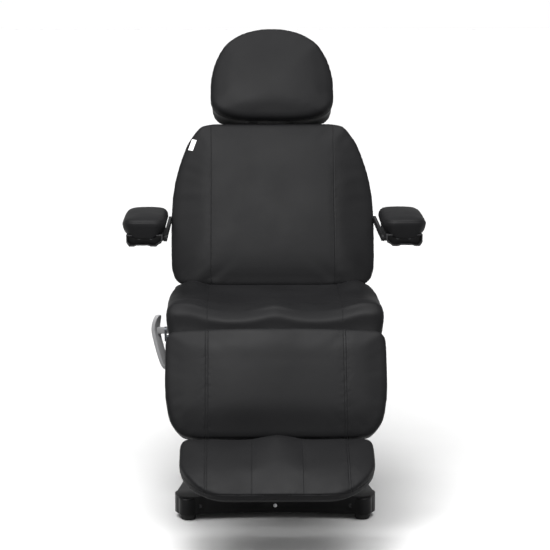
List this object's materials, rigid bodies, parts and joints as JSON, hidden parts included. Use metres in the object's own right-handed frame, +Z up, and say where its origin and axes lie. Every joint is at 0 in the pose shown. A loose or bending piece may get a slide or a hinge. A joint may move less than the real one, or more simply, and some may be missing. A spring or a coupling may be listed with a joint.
{
  "type": "electric beauty treatment chair",
  "caption": "Padded salon treatment chair with reclining back, legrest, sliding footrest, tilting headrest, swinging armrests and a locking swivel lift column on a broad base.",
  "frame": {"origin": "on the floor under the middle of the chair's bounding box, in the sitting position with the column down", "axes": "+X across the chair towards the sitter's left, +Y from the feet to the head, +Z up"},
  "size_m": [0.882, 1.3563, 1.3721],
  "materials": {
    "black_steel": "satin black powder coat",
    "base_plastic": "fine grained moulded plastic",
    "sleeve_plastic": "smooth satin plastic",
    "foot_rubber": "matt rubber",
    "zinc_steel": "zinc plated steel",
    "drive_grey": "grained dark grey plastic",
    "bright_rod": "polished rod",
    "nylon": "natural nylon",
    "plywood": "bare birch plywood",
    "eco_leather": "matt black synthetic leather",
    "lever_grey": "light grey paint",
    "screw_chrome": "polished"
  },
  "bodies": {
    "base": {"base_frame": "black_steel", "base_cover": "base_plastic", "levelling_feet": "foot_rubber", "front_screw": "screw_chrome", "mains_inlet": "base_plastic", "outer_tube": "zinc_steel", "column_glides": "nylon", "lower_sleeve": "sleeve_plastic", "lift_drive": "drive_grey"},
    "carriage": {"inner_tube": "zinc_steel", "upper_sleeve": "sleeve_plastic", "lift_rod": "bright_rod", "bearing_plate": "zinc_steel", "slew_ring": "nylon"},
    "seat": {"turning_plate": "zinc_steel", "seat_frame": "black_steel", "seat_board": "plywood", "seat_cushion": "eco_leather", "leg_hinge_shaft": "black_steel", "back_hinge_pins": "zinc_steel", "control_box": "drive_grey", "leg_drive": "drive_grey", "back_drive": "drive_grey", "drive_pins": "zinc_steel"},
    "leg_rod": {"leg_drive_rod": "bright_rod"},
    "back_rod": {"back_drive_rod": "bright_rod"},
    "lever": {"lock_lever": "lever_grey", "lock_shaft": "zinc_steel"},
    "plug": {"lock_plug": "zinc_steel"},
    "back": {"back_frame": "black_steel", "back_board": "plywood", "back_cushion": "eco_leather", "back_cover": "base_plastic"},
    "headrest_carrier": {"headrest_posts": "bright_rod"},
    "headrest": {"headrest_board": "black_steel", "headrest_cushion": "eco_leather"},
    "armrest_left": {"armrest_bar_left": "black_steel", "armrest_tray_left": "base_plastic", "armrest_pad_left": "eco_leather"},
    "armrest_right": {"armrest_bar_right": "black_steel", "armrest_tray_right": "base_plastic", "armrest_pad_right": "eco_leather"},
    "legrest": {"legrest_frame": "black_steel", "legrest_board": "plywood", "legrest_cushion": "eco_leather"},
    "footrest_carrier": {"footrest_slide": "zinc_steel", "footrest_pins": "zinc_steel"},
    "footrest": {"footrest_frame": "black_steel", "footrest_cushion": "eco_leather"}
  },
  "joints": [
    {"name": "lift", "type": "slide", "parent": "base", "child": "carriage", "axis": [0, 0, 1], "range_m": [0, 0.25]},
    {"name": "swivel", "type": "hinge", "parent": "carriage", "child": "seat", "pos_m": [0, 0.045, 0.42], "axis": [0, 0, 1], "range_deg": [-120, 120]},
    {"name": "back_recline", "type": "hinge", "parent": "seat", "child": "back", "pos_m": [0, 0.29698, 0.512], "axis": [-1, 0, 0], "range_deg": [0, 65]},
    {"name": "legrest_lift", "type": "hinge", "parent": "seat", "child": "legrest", "pos_m": [0, -0.218, 0.52], "axis": [-1, 0, 0], "range_deg": [0, 60]},
    {"name": "footrest_extend", "type": "slide", "parent": "legrest", "child": "footrest_carrier", "axis": [0, -0.5, -0.866], "range_m": [0, 0.1]},
    {"name": "footrest_tilt", "type": "hinge", "parent": "footrest_carrier", "child": "footrest", "pos_m": [0, -0.43763, 0.24959], "axis": [-1, 0, 0], "range_deg": [-40, 10]},
    {"name": "headrest_extend", "type": "slide", "parent": "back", "child": "headrest_carrier", "axis": [0, 0.4226, 0.9063], "range_m": [0, 0.1]},
    {"name": "headrest_tilt", "type": "hinge", "parent": "headrest_carrier", "child": "headrest", "pos_m": [0, 0.60171, 1.13236], "axis": [1, 0, 0], "range_deg": [-35, 4]},
    {"name": "armrest_left_swing", "type": "hinge", "parent": "back", "child": "armrest_left", "pos_m": [-0.27, 0.44171, 0.78215], "axis": [-1, 0, 0], "range_deg": [-65, 90]},
    {"name": "armrest_right_swing", "type": "hinge", "parent": "back", "child": "armrest_right", "pos_m": [0.27, 0.44171, 0.78215], "axis": [-1, 0, 0], "range_deg": [-65, 90]},
    {"name": "lever_turn", "type": "hinge", "parent": "seat", "child": "lever", "pos_m": [-0.2, -0.045, 0.503], "axis": [1, 0, 0], "range_deg": [0, 20]},
    {"name": "plug_lift", "type": "slide", "parent": "seat", "child": "plug", "axis": [0, 0, 1], "range_m": [0, 0.0106]},
    {"name": "leg_drive_stroke", "type": "slide", "parent": "seat", "child": "leg_rod", "axis": [0, -1, 0], "range_m": [0, 0.0744]},
    {"name": "back_drive_stroke", "type": "slide", "parent": "seat", "child": "back_rod", "axis": [0, -1, 0], "range_m": [0, 0.082]}
  ],
  "couplings": [
    {"joint": "plug_lift", "follows": "lever_turn", "m_per_rad": 0.03008},
    {"joint": "leg_drive_stroke", "follows": "legrest_lift", "m_per_rad": 0.07057},
    {"joint": "back_drive_stroke", "follows": "back_recline", "m_per_rad": 0.07188}
  ]
}
